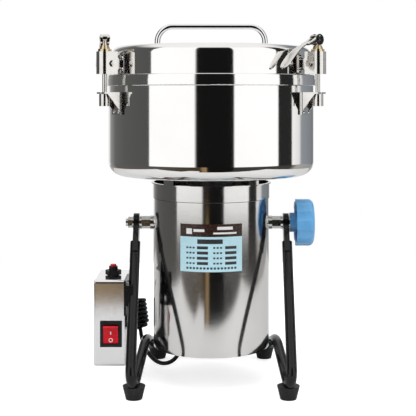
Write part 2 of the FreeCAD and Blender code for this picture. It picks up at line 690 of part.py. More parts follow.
def lid():
    """Pressed lid with its flange, gasket and handle."""
    wall_out = "bowl_radius - lid_inset"
    wall_in = "bowl_radius - lid_inset - lid_wall"
    top = "bowl_rim + lid_height"
    edge = "bowl_radius + band_wall - 0.5"
    flange = "bowl_rim + flange_height"
    corner_ring = size("bowl_radius") - size("lid_inset")
    lid_top = size("bowl_rim") + size("lid_height")
    node(revolved([(0, top), (wall_out, top), (wall_out, flange), (edge, flange),
                   (edge, "bowl_rim"), (f"{edge} - lid_wall", "bowl_rim"),
                   (f"{edge} - lid_wall", f"{flange} - lid_wall"),
                   (wall_in, f"{flange} - lid_wall"), (wall_in, f"{top} - lid_wall"),
                   (0, f"{top} - lid_wall")],
                  [("lid_corner", corner_ring, lid_top),
                   ("lid_corner - lid_wall", corner_ring - size("lid_wall"),
                    lid_top - size("lid_wall")),
                   (1.2, size("bowl_radius") + size("band_wall") - 0.5,
                    size("bowl_rim") + size("flange_height"))]), "lid")
    node(ring(f"{edge} - lid_wall - small_gap", f"{wall_in} + 1", "flange_height - lid_wall",
              (0, 0, "bowl_rim")), "lid_gasket")
    reach = size("handle_span") / 2
    rise = lid_top + size("handle_height") - size("handle_rod")
    points = [(-reach, 0, lid_top), (-reach, 0, rise), (reach, 0, rise), (reach, 0, lid_top)]
    bar = tube(points, [size("handle_corner")] * 2, "handle_rod")
    feet = [cylinder("handle_rod + 2.5", 2, (f"{side}handle_span / 2", 0, top))
            for side in ("-", "")]
    node(fused(bar, *feet), "lid_handle")


# ---------------------------------------------------------------- the clamps

def catch_bracket():
    """The shelf on the bowl that the clamp's nut pulls on, facing +X."""
    seat = "bowl_radius + running_gap"
    under = "shelf_height - shelf_wall"
    back = box(3.4, 26, 28, ("bowl_radius - 1", -13, f"{under} - 26"))
    shelf = box("shelf_reach - bowl_radius", 24, "shelf_wall", ("bowl_radius", -12, under))
    gussets = []
    for y in (-12, 10.4):
        wedge = padded([("bowl_radius", f"{under} - 20"), ("bowl_radius + 3", f"{under} - 20"),
                        ("shelf_reach - 4", under), ("bowl_radius", under)], 1.6, "XZ_Plane")
        move(wedge, 0, y + 1.6, 0)
        gussets.append(wedge)
    slot = box(30, 7, 10, ("rod_ring", -3.5, f"{under} - 4"))
    slot_end = cylinder(3.5, 10, ("rod_ring", 0, f"{under} - 4"))
    bowl_side = cylinder(seat, 60, (0, 0, f"{under} - 40"))
    band_side = cylinder("bowl_radius + band_wall + small_gap", 20,
                         (0, 0, "bowl_rim - band_height - small_gap"))
    return cut(fused(back, shelf, *gussets), bowl_side, band_side, slot, slot_end)


def lid_lug():
    """The channel on the lid's wall that carries one clamp, facing +X."""
    seat = "bowl_radius - lid_inset + running_gap"
    base = box(4, 26, 22, ("bowl_radius - lid_inset - 1.5", -13, "hinge_height - 11"))
    ears = [box("hinge_ring + 4 - bowl_radius + lid_inset", 1.6, 14,
                ("bowl_radius - lid_inset", y, "hinge_height - 7")) for y in (-7, 5.4)]
    hole = cylinder("2.5 + running_gap", 30, ("hinge_ring", -15, "hinge_height"), "y")
    return cut(fused(base, *ears), cylinder(seat, 60, (0, 0, "hinge_height - 30")), hole)


def rivets():
    """Rivet heads of one lug and one catch bracket, facing +X."""
    heads = []
    for y, z in ((-10, "hinge_height - 7"), (10, "hinge_height - 7"), (-10, "hinge_height + 7"),
                 (10, "hinge_height + 7")):
        heads.append(cone(2.6, 1.6, 1.4, ("bowl_radius - lid_inset + 2.5", y, z), "x"))
    for y in (-7, 7):
        heads.append(cone(2.6, 1.6, 1.4, ("bowl_radius + 2.4", y, "shelf_height - 24"), "x"))
    return group(*heads)


def sleeve():
    """The U-shaped strap round the rod, which swings on the lug, facing +X."""
    low = "hinge_height - sleeve_half + 1"
    tall = "2 * sleeve_half"
    outer = fused(cylinder("sleeve_radius", tall, ("rod_ring", 0, low)),
                  box(13, "2 * sleeve_radius", tall, ("rod_ring - 13", "-sleeve_radius", low)))
    inner_radius = "sleeve_radius - sleeve_wall"
    inner = fused(cylinder(inner_radius, f"{tall} + 2", ("rod_ring", 0, f"{low} - 1")),
                  box(15, f"2 * ({inner_radius})", f"{tall} + 2",
                      ("rod_ring - 15", f"-({inner_radius})", f"{low} - 1")))
    strap = cut(outer, inner)
    plates = [cylinder(f"{inner_radius} + 0.5", 2, ("rod_ring", 0, z))
              for z in (low, f"{low} + {tall} - 2")]
    rod_hole = cylinder("rod_radius + running_gap", 60, ("rod_ring", 0, "hinge_height - 30"))
    hole = cylinder("2.5 + running_gap", 30, ("hinge_ring", -15, "hinge_height"), "y")
    return cut(fused(strap, *plates), rod_hole, hole)


def saddle():
    """The washer on the sleeve and the seat that the cam presses on, facing +X."""
    low = "hinge_height + sleeve_half + 1"
    washer = cylinder(8.4, 3, ("rod_ring", 0, low))
    seat = cone(6.8, 5.2, 4.6, ("rod_ring", 0, f"{low} + 3"))
    rod_hole = cylinder("rod_radius + running_gap", 30, ("rod_ring", 0, f"{low} - 5"))
    return cut(fused(washer, seat), rod_hole)


def pivot_bolt():
    """The bolt that a clamp swings on, with its head and nut, facing +X."""
    shank = cylinder(2.5, "2 * sleeve_radius + 8", ("hinge_ring", "-sleeve_radius - 4",
                                                  "hinge_height"), "y")
    head = hexagon(4.4, 3, ("hinge_ring", "-sleeve_radius - 3.2", "hinge_height"), "y")
    nut = hexagon(4.4, 3.4, ("hinge_ring", "sleeve_radius + 0.2", "hinge_height"), "y")
    return fused(shank, head, nut)


def swing_bolt():
    """The clamp's rod with its eye, and its round nut as a second solid, facing +X."""
    nut_top = "shelf_height - shelf_wall - small_gap"
    low = f"{nut_top} - nut_length"
    rod = cylinder("rod_radius", f"cam_pin_height - ({low}) - 1", ("rod_ring", 0, f"{low} + 1"))
    eye = doc.addObject("Part::Cylinder", "Eye")
    bind(eye, Radius=4.4, Height=5)
    eye_turn = Rotation(Vector(0, 0, 1), -20) * tilt_to("x")
    eye_shift = eye_turn.multVec(Vector(0, 0, -2.5))
    eye.Placement = Placement(Vector(), eye_turn)
    move(eye, f"rod_ring + {eye_shift.x:.5f}", f"{eye_shift.y:.5f}", "cam_pin_height")
    hole = doc.addObject("Part::Cylinder", "EyeHole")
    bind(hole, Radius="2.2 + running_gap", Height=20)
    hole_shift = eye_turn.multVec(Vector(0, 0, -10))
    hole.Placement = Placement(Vector(), eye_turn)
    move(hole, f"rod_ring + {hole_shift.x:.5f}", f"{hole_shift.y:.5f}", "cam_pin_height")
    nut = cut(cylinder("nut_radius", "nut_length", ("rod_ring", 0, low)),
              cylinder("rod_radius + running_gap", 40, ("rod_ring", 0, f"{low} - 5")))
    return group(cut(fused(rod, eye), hole), nut)


LEVER_SLOPE = 31
LEVER_HEADING = -110
CAM_PHASE = 40


def cam_lever():
    """The over-centre lever: two cam discs, a fork and a broad end, facing +X."""
    phase = math.radians(CAM_PHASE + LEVER_SLOPE)
    discs = []
    for y in (-5.6, 3):
        discs.append(cylinder("cam_radius", 2.6,
                              (f"cam_offset * {math.sin(phase):.5f}", y,
                               f"-cam_offset * {math.cos(phase):.5f}"), "y"))
    arms = [box(30, 2.6, 8, (0, y, -3)) for y in (-5.6, 3)]
    web = box(16, "lever_width - 1.6", 3, (18, "-lever_width / 2 + 0.8", 0.5))
    blade = box("lever_length - 26", "lever_width", 2.6, (26, "-lever_width / 2", 0.7))
    whole = fused(*discs, *arms, web, blade)
    pin_hole = cylinder("2.2 + running_gap", 20, (0, -10, 0), "y")
    pin = cylinder(2.2, 13, (0, -6.5, 0), "y")
    lever = group(cut(whole, pin_hole), pin)
    slope = Rotation(Vector(0, 1, 0), LEVER_SLOPE)
    heading = Rotation(Vector(0, 0, 1), LEVER_HEADING)
    lever.Placement = Placement(Vector(), heading * slope)
    return move(lever, "rod_ring", 0, "cam_pin_height")


def clamps():
    """Three toggle clamps, a third of a turn apart."""
    catch, lug, heads, bolt = catch_bracket(), lid_lug(), rivets(), pivot_bolt()
    moving = {"sleeve": group(sleeve(), saddle()), "swing_bolt": swing_bolt(),
              "lever": cam_lever()}
    angles = CLAMPS.values()
    node(group(*[turned(catch, angle) for angle in angles]), "catch_brackets")
    node(group(*[turned(lug, angle) for angle in angles]), "lid_lugs")
    node(group(*[turned(heads, angle) for angle in angles]), "clamp_rivets")
    node(group(*[turned(bolt, angle) for angle in angles]), "clamp_pivot_bolts")
    for place, angle in CLAMPS.items():
        for piece, shape in moving.items():
            node(turned(shape, angle), f"{piece}_{place}")


# ------------------------------------------------------------------ the cord

COIL_TOP = (-104, 66, 91)
COIL_LEAN = (6.5, -8, -42)
UPPER_LEAD = [(-140, 40.3, 112), (-139.4, 47.5, 112), (-136.5, 55, 112), (-131.5, 61, 111.5),
              (-125, 65, 110.5), (-118, 67.5, 108), (-111.5, 68, 104), (-106.5, 67.5, 98),
              (-104, 66, 91.4)]
LOWER_LEAD = [(-97.39, 57.86, 48.27), (-95.6, 55.6, 36.6), (-90.5, 52, 25.5), (-84.5, 47.5, 16),
              (-75.5, 42, 9.5), (-65.5, 35.5, 7.5), (-55, 30, 11), (-47, 25.5, 18.5),
              (-41.5, 23, 29.5), (-40, 22, 41)]


def cord():
    """The curly cord from the switch box to the motor, with its glands."""
    for name, points in (("upper", UPPER_LEAD), ("lower", LOWER_LEAD)):
        radii = loose_radii(points)
        print(f"{name} lead radii:", [round(radius, 1) for radius in radii])
        lead = tube(points, radii, "cord_radius")
        node(lead, f"cord_lead_{name}")
    lean = Vector(*COIL_LEAN)
    coil = doc.addObject("Part::Cylinder", "Coil")
    coil.Placement = Placement(Vector(*COIL_TOP), Rotation(Vector(0, 0, 1), lean))
    bind(coil, Radius="coil_radius", Height="coil_length")
    node(coil, "cord_coil")
    back = "box_depth - box_front"
    glands = []
    for x, z, bored in ((-140, 112, False), (-130, 46, True)):
        nut = hexagon(8.5, 4, (x, back, z), "y")
        neck = cylinder(5, 8, (x, f"{back} - 2", z), "y")
        stub = cylinder(5, 2, (x, f"{back} + 4", z), "y")
        gland = fused(nut, neck, stub)
        if bored:
            gland = cut(gland, cylinder("inlet_radius", 20, (x, back, z), "y"))
        glands.append(gland)
    node(group(*glands), "box_glands")
    base = "housing_base + 0.5"
    collar = hexagon(8.5, 3, (-40, 22, f"{base} - 3"))
    neck = cylinder(5, 8, (-40, 22, f"{base} - 3"))
    node(fused(collar, neck), "motor_gland")


# ------------------------------------------------------------------- writing

def check_and_write():
    """Refuse a broken document, then write one file per sub-part."""
    doc.recompute()
    broken = [item.Label for item in doc.Objects
              if "Invalid" in item.State or "Error" in item.State]
    if broken:
        raise RuntimeError(f"failed objects: {broken}")
    for item in nodes:
        if item.Shape.isNull() or not item.Shape.isValid():
            raise RuntimeError(f"no valid shape: {item.Label}")
    os.makedirs("parts", exist_ok=True)
    for item in nodes:
        item.Shape.exportStep(f"parts/{item.Label}.step")
        print(f"{item.Label}: {len(item.Shape.Solids)} solids, {item.Shape.Volume:.0f} mm3")
    print(len(nodes), "nodes")


stand()
bracket(switch_box())
rocker_switch()
breaker()
motor_housing()
trunnions()
lock_knob()
motor()
blades()
bowl()
lid()
clamps()
cord()
check_and_write()
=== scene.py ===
"""Looks of the tilting hammer mill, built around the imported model. Lengths are in metres."""

import json
import math

import bpy
import bmesh
from mathutils import Matrix, Vector


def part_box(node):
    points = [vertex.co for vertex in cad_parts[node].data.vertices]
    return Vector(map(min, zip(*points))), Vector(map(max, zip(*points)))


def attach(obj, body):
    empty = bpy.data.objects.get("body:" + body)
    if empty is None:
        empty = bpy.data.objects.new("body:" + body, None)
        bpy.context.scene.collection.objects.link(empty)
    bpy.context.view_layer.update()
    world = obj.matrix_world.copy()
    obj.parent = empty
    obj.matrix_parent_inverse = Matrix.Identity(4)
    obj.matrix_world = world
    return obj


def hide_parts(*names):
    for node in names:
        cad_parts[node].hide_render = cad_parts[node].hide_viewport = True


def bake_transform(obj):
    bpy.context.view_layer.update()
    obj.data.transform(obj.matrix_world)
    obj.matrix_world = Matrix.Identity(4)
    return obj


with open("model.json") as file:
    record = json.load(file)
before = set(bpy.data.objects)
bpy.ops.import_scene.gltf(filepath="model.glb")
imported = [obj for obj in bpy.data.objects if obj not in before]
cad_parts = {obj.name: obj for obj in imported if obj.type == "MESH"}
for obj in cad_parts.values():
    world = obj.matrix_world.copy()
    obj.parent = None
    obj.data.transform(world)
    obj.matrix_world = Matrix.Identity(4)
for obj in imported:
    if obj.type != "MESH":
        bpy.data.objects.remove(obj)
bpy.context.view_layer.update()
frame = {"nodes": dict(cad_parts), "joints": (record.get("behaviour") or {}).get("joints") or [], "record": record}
NODES = frame["nodes"]
JOINTS = {joint["name"]: joint for joint in frame["joints"]}
MM = 0.001


# ------------------------------------------------------------------- camera

CAMERA_PLACE = (0, -1.320, 0.372)
CAMERA_LENS = 86.5
CAMERA_SENSOR = 36
CAMERA_SHIFT_ACROSS = -0.0077
CAMERA_SHIFT_UP = -0.2716


def make_camera():
    """A level camera in front of the mill, framed with lens shift."""
    data = bpy.data.cameras.new("camera")
    data.lens = CAMERA_LENS
    data.sensor_width = CAMERA_SENSOR
    data.shift_x = CAMERA_SHIFT_ACROSS
    data.shift_y = CAMERA_SHIFT_UP
    data.dof.use_dof = False
    camera = bpy.data.objects.new("camera", data)
    camera.location = CAMERA_PLACE
    camera.rotation_euler = (math.radians(90), 0, 0)
    bpy.context.scene.collection.objects.link(camera)
    bpy.context.scene.camera = camera


# ---------------------------------------------------------- meshes by hand

def new_piece(name, mesh_maker, body):
    """A mesh piece filled by mesh_maker, which rides on a body if one is given."""
    mesh = bpy.data.meshes.new(name)
    work = bmesh.new()
    mesh_maker(work)
    bmesh.ops.recalc_face_normals(work, faces=work.faces)
    work.to_mesh(mesh)
    work.free()
    piece = bpy.data.objects.new(name, mesh)
    bpy.context.scene.collection.objects.link(piece)
    if body:
        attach(piece, body)
    return piece


def sweep_circle(work, path, radius, sides=14):
    """A closed round tube along a list of points, without twist."""
    rings = []
    side = None
    for i, point in enumerate(path):
        ahead = (path[min(i + 1, len(path) - 1)] - path[max(i - 1, 0)]).normalized()
        if side is None:
            side = ahead.orthogonal()
        side = (side - ahead * side.dot(ahead)).normalized()
        up = ahead.cross(side)
        rings.append([work.verts.new(point + radius * (side * math.cos(math.tau * k / sides)
                                                       + up * math.sin(math.tau * k / sides)))
                      for k in range(sides)])
    for first, second in zip(rings, rings[1:]):
        for k in range(sides):
            work.faces.new((first[k], first[(k + 1) % sides],
                            second[(k + 1) % sides], second[k]))
    work.faces.new(rings[0])
    work.faces.new(rings[-1][::-1])


# --------------------------------------------------------------------- cord

CORD_DIAMETER = 5.5 * MM
COIL_TOP = Vector((-104, 66, 91)) * MM
COIL_AXIS = Vector((6.5, -8, -42)).normalized()
COIL_LENGTH = 44 * MM
COIL_RADIUS = 11.25 * MM
COIL_TURNS = 7
COIL_START = math.radians(218)
POINTS_PER_TURN = 14
CLOSING_TURNS = 1.1
ENTRY_BEND = 11 * MM
ENTRY_STEPS = 6
UPPER_LEAD = [(-140, 40.3, 112), (-139.4, 47.5, 112), (-136.5, 55, 112), (-131.5, 61, 111.5),
              (-126, 65.5, 110), (-121.7, 67.4, 106.3)]
LOWER_LEAD = [(-95.6, 55.6, 36.6), (-90.5, 52, 25.5), (-84.5, 47.5, 16), (-75.5, 42, 9.5),
              (-65.5, 35.5, 7.5), (-55, 30, 11), (-47, 25.5, 18.5), (-41.5, 23, 29.5),
              (-40, 22, 41)]


def coil_points():
    """The coil: a round bend out of the lead, then a helix that closes in to its axis."""
    side = Vector((math.cos(COIL_START), math.sin(COIL_START), 0))
    side = (side - COIL_AXIS * side.dot(COIL_AXIS)).normalized()
    other = side.cross(COIL_AXIS)
    count = COIL_TURNS * POINTS_PER_TURN
    ease = POINTS_PER_TURN * CLOSING_TURNS
    margin = CORD_DIAMETER / 2
    top = COIL_TOP + COIL_AXIS * margin + side * COIL_RADIUS
    middle = top - COIL_AXIS * ENTRY_BEND
    points = []
    for k in range(ENTRY_STEPS):
        angle = math.pi / 2 * k / ENTRY_STEPS
        points.append(middle - other * ENTRY_BEND * math.cos(angle)
                      + COIL_AXIS * ENTRY_BEND * math.sin(angle))
    for i in range(count + 1):
        angle = math.tau * i / POINTS_PER_TURN
        close_in = min(1, (count - i) / ease)
        reach = COIL_RADIUS * math.sin(close_in * math.pi / 2)
        along = margin + (COIL_LENGTH - 2 * margin) * i / count
        points.append(COIL_TOP + COIL_AXIS * along
                      + side * reach * math.cos(angle) + other * reach * math.sin(angle))
    return points


def smooth_path(points):
    """The points of one NURBS spline that has these as its control points."""
    curve = bpy.data.curves.new("route", "CURVE")
    curve.dimensions = "3D"
    curve.resolution_u = 5
    spline = curve.splines.new("NURBS")
    spline.points.add(len(points) - 1)
    for point, place in zip(spline.points, points):
        point.co = (*place, 1)
    spline.order_u = 3
    spline.use_endpoint_u = True
    route = bpy.data.objects.new("route", curve)
    bpy.context.scene.collection.objects.link(route)
    bpy.context.view_layer.update()
    mesh = bpy.data.meshes.new_from_object(route)
    path = [vertex.co.copy() for vertex in mesh.vertices]
    bpy.data.objects.remove(route)
    bpy.data.meshes.remove(mesh)
    bpy.data.curves.remove(curve)
    return path


def curly_cord():
    """One cord from the switch box through its coil to the motor's base."""
    points = ([Vector(p) * MM for p in UPPER_LEAD] + coil_points()
              + [Vector(p) * MM for p in LOWER_LEAD])
    path = smooth_path(points)
    cord = new_piece("curly_cord", lambda work: sweep_circle(work, path, CORD_DIAMETER / 2),
                     None)
    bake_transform(cord)
    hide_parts("cord_lead_upper", "cord_coil", "cord_lead_lower")
    return cord


# ---------------------------------------------------------------- materials

BUMP_DEPTH = 0.0002
LABEL_HEADER = 15.8 * MM
WASHER_HEIGHT = 15.1 * MM
COLOUR_EDGE = 0.1 * MM


class Nodes:
    """A short way to add and join shader nodes."""

    def __init__(self, tree):
        self.tree = tree

    def add(self, kind, **settings):
        made = self.tree.nodes.new(kind)
        for name, value in settings.items():
            setattr(made, name, value)
        return made

    def join(self, out_socket, in_socket):
        self.tree.links.new(out_socket, in_socket)

    def noise(self, vector, scale, detail=4, roughness=0.6):
        made = self.add("ShaderNodeTexNoise")
        made.inputs["Scale"].default_value = scale
        made.inputs["Detail"].default_value = detail
        made.inputs["Roughness"].default_value = roughness
        self.join(vector, made.inputs["Vector"])
        return made.outputs["Fac"]

    def spread(self, value, low, high, start=0.3, stop=0.7):
        made = self.add("ShaderNodeMapRange")
        for name, number in (("From Min", start), ("From Max", stop), ("To Min", low),
                             ("To Max", high)):
            made.inputs[name].default_value = number
        self.join(value, made.inputs["Value"])
        return made.outputs["Result"]

    def mix(self, factor, first, second):
        """Blend two colours, each a tuple or the output of another node."""
        made = self.add("ShaderNodeMix", data_type="RGBA")
        self.join(factor, made.inputs["Factor"])
        for value, socket in zip((first, second), (made.inputs[6], made.inputs[7])):
            if isinstance(value, tuple):
                socket.default_value = (*value, 1)
            else:
                self.join(value, socket)
        return made.outputs[2]


def finish_of(name, colours, rough, scale=30.0, stretch=(1, 1, 1), grain=400.0, bump=0.0,
              **sockets):
    """A procedural finish: two close colours, a range of roughness and a fine bump."""
    material = bpy.data.materials.new(name)
    material.use_nodes = True
    nodes = Nodes(material.node_tree)
    shader = material.node_tree.nodes["Principled BSDF"]
    place = nodes.add("ShaderNodeTexCoord")
    mapping = nodes.add("ShaderNodeMapping")
    mapping.inputs["Scale"].default_value = stretch
    nodes.join(place.outputs["Object"], mapping.inputs["Vector"])
    broad = nodes.noise(place.outputs["Object"], scale)
    fine = nodes.noise(mapping.outputs["Vector"], grain, 3)
    nodes.join(nodes.mix(nodes.spread(broad, 0, 1), *colours), shader.inputs["Base Color"])
    nodes.join(nodes.spread(fine, *rough), shader.inputs["Roughness"])
    if bump:
        relief = nodes.add("ShaderNodeBump")
        relief.inputs["Strength"].default_value = bump
        relief.inputs["Distance"].default_value = BUMP_DEPTH
        nodes.join(fine, relief.inputs["Height"])
        nodes.join(relief.outputs["Normal"], shader.inputs["Normal"])
    for socket, value in sockets.items():
        shader.inputs[socket.replace("_", " ")].default_value = value
    return material


def metal(name, light, dark, rough, **more):
    """A metal finish."""
    return finish_of(name, (dark, light), rough, Metallic=1.0, **more)


def materials():
    """A finish for each slot of the record, and for the sleeves and the printing."""
    rings = (1, 1, 60)
    return {
        "mirror_steel": metal("mirror_steel", (.93, .92, .905), (.88, .87, .85), (.035, .085),
                              scale=9, stretch=rings, grain=60, bump=.012),
        "handle_chrome": metal("handle_chrome", (.90, .90, .90), (.84, .84, .85), (.03, .07),
                               scale=40, grain=300),
        "clamp_steel": metal("clamp_steel", (.80, .78, .75), (.70, .68, .65), (.08, .16),
                             scale=60, grain=300, bump=.015),
        "chrome_box": metal("chrome_box", (.90, .90, .90), (.85, .85, .86), (.10, .16),
                            scale=25, grain=200, bump=.02),
        "zinc": metal("zinc", (.82, .82, .80), (.66, .66, .63), (.10, .24), scale=120,
                      grain=600, bump=.05),
        "brushed_housing": metal("brushed_housing", (.80, .785, .77), (.72, .705, .69),
                                 (.07, .15), scale=14, stretch=(1, 1, 80), grain=70, bump=.03),
        "blade_steel": metal("blade_steel", (.74, .74, .74), (.62, .62, .62), (.18, .34),
                             scale=60, stretch=(1, 12, 1), grain=200, bump=.08),
        "bearing_steel": metal("bearing_steel", (.72, .72, .72), (.60, .60, .60), (.16, .28),
                               scale=60, grain=400),
        "lamination": metal("lamination", (.40, .40, .41), (.28, .28, .29), (.35, .55),
                            scale=20, stretch=(1, 1, 40), grain=60, bump=.2),
        "copper": metal("copper", (.80, .42, .22), (.55, .26, .12), (.22, .40), scale=120,
                        stretch=(1, 1, 6), grain=300, bump=.3),
        "cast_alloy": metal("cast_alloy", (.22, .22, .22), (.12, .12, .12), (.4, .6),
                            scale=120, grain=700, bump=.3),
        "brush_housing": metal("brush_housing", (.78, .62, .30), (.66, .50, .22), (.2, .35),
                               scale=80, grain=300),
        "black_tube": finish_of("black_tube", ((.003, .003, .0035), (.008, .008, .009)),
                                (.10, .20), scale=60, grain=260, bump=.03, Coat_Weight=.30,
                                Coat_Roughness=.05, Specular_IOR_Level=.20),
        "black_bracket": finish_of("black_bracket", ((.003, .003, .0035), (.008, .008, .009)),
                                   (.16, .28), scale=60, grain=260, bump=.05,
                                   Specular_IOR_Level=.25),
        "black_rubber": finish_of("black_rubber", ((.006, .006, .006), (.018, .018, .018)),
                                  (.42, .62), scale=90, grain=900, bump=.25,
                                  Specular_IOR_Level=.3),
        "black_plastic": finish_of("black_plastic", ((.005, .005, .006), (.013, .013, .015)),
                                   (.28, .42), scale=90, grain=900, bump=.12,
                                   Specular_IOR_Level=.3),
        "base_metal": finish_of("base_metal", ((.02, .02, .02), (.04, .04, .04)), (.35, .5),
                                scale=50, grain=500, bump=.15),
        "red_rocker": finish_of("red_rocker", ((.54, .003, .012), (.66, .005, .018)),
                                (.16, .26), scale=120, grain=500, bump=.03,
                                Specular_IOR_Level=.3),
        "red_button": finish_of("red_button", ((.62, .012, .012), (.75, .02, .02)), (.2, .3),
                                scale=150, grain=600, bump=.04),
        "blue_plastic": finish_of("blue_plastic", ((.120, .400, .740), (.160, .460, .820)),
                                  (.26, .38), scale=40, grain=500, bump=.05,
                                  Subsurface_Weight=.05),
        "carbon": finish_of("carbon", ((.02, .02, .02), (.05, .05, .05)), (.5, .7), scale=100,
                            grain=600, bump=.2),
        "fan_plastic": finish_of("fan_plastic", ((.05, .05, .05), (.09, .09, .09)), (.4, .5),
                                 scale=60, grain=500, bump=.1),
        "silicone": finish_of("silicone", ((.62, .62, .58), (.72, .72, .69)), (.4, .55),
                              scale=60, grain=400, bump=.08),
        "cord_rubber": finish_of("cord_rubber", ((.004, .004, .004), (.010, .010, .010)),
                                 (.20, .32), scale=120, grain=700, bump=.12,
                                 Specular_IOR_Level=.35),
        "label": label_finish(),
        "sleeve_steel": sleeve_finish(),
        "print_dark": finish_of("print_dark", ((.02, .022, .026), (.04, .042, .048)),
                                (.3, .45), scale=200, grain=700),
        "print_white": finish_of("print_white", ((.80, .80, .79), (.90, .90, .89)), (.3, .45),
                                 scale=200, grain=700),
    }


def label_finish():
    """Printed foil: a dark header over a pale blue field."""
    _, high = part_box("rating_label")
    material = finish_of("label", ((.50, .77, .87), (.55, .82, .91)), (.20, .32), scale=60,
                         grain=400, bump=.02)
    nodes = Nodes(material.node_tree)
    shader = material.node_tree.nodes["Principled BSDF"]
    place = nodes.add("ShaderNodeTexCoord")
    split = nodes.add("ShaderNodeSeparateXYZ")
    nodes.join(place.outputs["Object"], split.inputs["Vector"])
    edge = high.z - LABEL_HEADER
    header = nodes.spread(split.outputs["Z"], 0, 1, edge - COLOUR_EDGE, edge + COLOUR_EDGE)
    field = shader.inputs["Base Color"].links[0].from_socket
    brown = nodes.mix(nodes.noise(place.outputs["Object"], 90), (.030, .014, .010),
                      (.042, .020, .014))
    nodes.join(nodes.mix(header, field, brown), shader.inputs["Base Color"])
    return material


def sleeve_finish():
    """Clamp steel whose washers on top are yellow passivated."""
    material = metal("sleeve_steel", (.80, .78, .75), (.70, .68, .65), (.08, .16), scale=60,
                     grain=300, bump=.015)
    nodes = Nodes(material.node_tree)
    shader = material.node_tree.nodes["Principled BSDF"]
    place = nodes.add("ShaderNodeTexCoord")
    split = nodes.add("ShaderNodeSeparateXYZ")
    nodes.join(place.outputs["Object"], split.inputs["Vector"])
    edge = JOINTS["clamp_swing_rear"]["pos_m"][2] + WASHER_HEIGHT
    washer = nodes.spread(split.outputs["Z"], 0, 1, edge, edge + COLOUR_EDGE)
    steel = shader.inputs["Base Color"].links[0].from_socket
    gold = nodes.mix(nodes.noise(place.outputs["Object"], 150), (.62, .50, .30),
                     (.80, .66, .42))
    nodes.join(nodes.mix(washer, steel, gold), shader.inputs["Base Color"])
    return material


def paint(made):
    """Give every CAD node the finish of its slot."""
    for row in frame["record"]["subparts"]:
        piece = NODES[row["node"]]
        finish = "sleeve_steel" if row["node"].startswith("sleeve") else row["material_slot"]
        piece.data.materials.clear()
        piece.data.materials.append(made[finish])


# -------------------------------------------------------- label and markings

LABEL_RADIUS = 76.42 * MM
LABEL_LEFT = -38.5
PRINT_THICKNESS = 0.05 * MM
PRINT_ROWS = 4
PRINT_PITCH = 6.5
MARK_SKIN = 0.08 * MM
LINE_HALF_WIDTH = 0.6 * MM
LINE_HALF_HEIGHT = 2.1 * MM
LINE_STEPS = 6
LINE_RISE = 2.4 * MM
RING_DROP = 6.6 * MM
RING_RADII = (1.8, 2.6)
RING_STEPS = 28


def curved_plate(work, radius, thickness, angles, heights, steps=6):
    """A thin plate on a cylinder about Z, between two angles from -Y and two heights."""
    grid = []
    for k in range(steps + 1):
        angle = angles[0] + (angles[1] - angles[0]) * k / steps
        across = Vector((math.sin(angle), -math.cos(angle), 0))
        grid.append([work.verts.new(across * r + Vector((0, 0, z)))
                     for r in (radius, radius + thickness) for z in heights])
    for first, second in zip(grid, grid[1:]):
        for a, b in ((0, 1), (1, 3), (3, 2), (2, 0)):
            work.faces.new((first[a], first[b], second[b], second[a]))
    work.faces.new((grid[0][0], grid[0][2], grid[0][3], grid[0][1]))
    work.faces.new((grid[-1][0], grid[-1][1], grid[-1][3], grid[-1][2]))


def label_print(made):
    """Plain bars in place of the label's printing.

    Each bar is (start, stop, lower, upper), in mm from the label's left and top edges.
    """
    _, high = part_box("rating_label")
    top = high.z / MM
    dark = [(21, 53, 24.5, 18.8)]
    for row in range(PRINT_ROWS):
        z = 27.5 + PRINT_PITCH * row
        dark.append((20.5, 34.5, z + 3.6, z))
        dark.append((56, 71, z + 3.6, z))
    for row in range(PRINT_ROWS):
        z = 28.2 + PRINT_PITCH * row
        for start in (6.5, 41):
            for k in range(3):
                dark.append((start + 4.2 * k, start + 4.2 * k + 2.7, z + 2.2, z))
    for k in range(15):
        dark.append((6.5 + 4.4 * k, 6.5 + 4.4 * k + 2.8, 56.2, 53.6))
    white = [(6.5, 14, 12.5, 5.5), (16, 30, 9.6, 6.2), (46, 66, 7.0, 3.2),
             (41, 71, 12.4, 10.2)]

    def maker(bars):
        def make(work):
            for start, stop, lower, upper in bars:
                curved_plate(work, LABEL_RADIUS, PRINT_THICKNESS,
                             ((LABEL_LEFT + start) * MM / LABEL_RADIUS,
                              (LABEL_LEFT + stop) * MM / LABEL_RADIUS),
                             ((top - lower) * MM, (top - upper) * MM))
        return make

    for name, bars, finish in (("label_print_dark", dark, "print_dark"),
                               ("label_print_white", white, "print_white")):
        piece = new_piece(name, maker(bars), "mill")
        piece.data.materials.append(made[finish])


def front_of(node, x, z):
    """The point where a line along +Y through x and z first meets a CAD node."""
    _, place, _, _ = NODES[node].ray_cast(Vector((x, -1, z)), Vector((0, 1, 0)))
    return place


def switch_marks(made):
    """The line and the ring printed on the rocker."""
    low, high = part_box("rocker")
    middle = (low.x + high.x) / 2
    rise = (low.z + high.z) / 2

    def lift(work, x, z):
        place = front_of("rocker", x, z)
        return work.verts.new((x, place.y - MARK_SKIN, z))

    def make(work):
        top = rise + LINE_RISE
        left, right = ([lift(work, x, top - LINE_HALF_HEIGHT
                             + 2 * LINE_HALF_HEIGHT * k / LINE_STEPS)
                        for k in range(LINE_STEPS + 1)]
                       for x in (middle - LINE_HALF_WIDTH, middle + LINE_HALF_WIDTH))
        for k in range(LINE_STEPS):
            work.faces.new((left[k], right[k], right[k + 1], left[k + 1]))
        centre = rise - RING_DROP
        inner, outer = ([lift(work, middle + r * MM * math.cos(math.tau * k / RING_STEPS),
                              centre + r * MM * math.sin(math.tau * k / RING_STEPS))
                         for k in range(RING_STEPS)]
                        for r in RING_RADII)
        for k in range(RING_STEPS):
            after = (k + 1) % RING_STEPS
            work.faces.new((inner[k], inner[after], outer[after], outer[k]))

    marks = new_piece("rocker_marks", make, "rocker")
    marks.data.materials.append(made["print_white"])


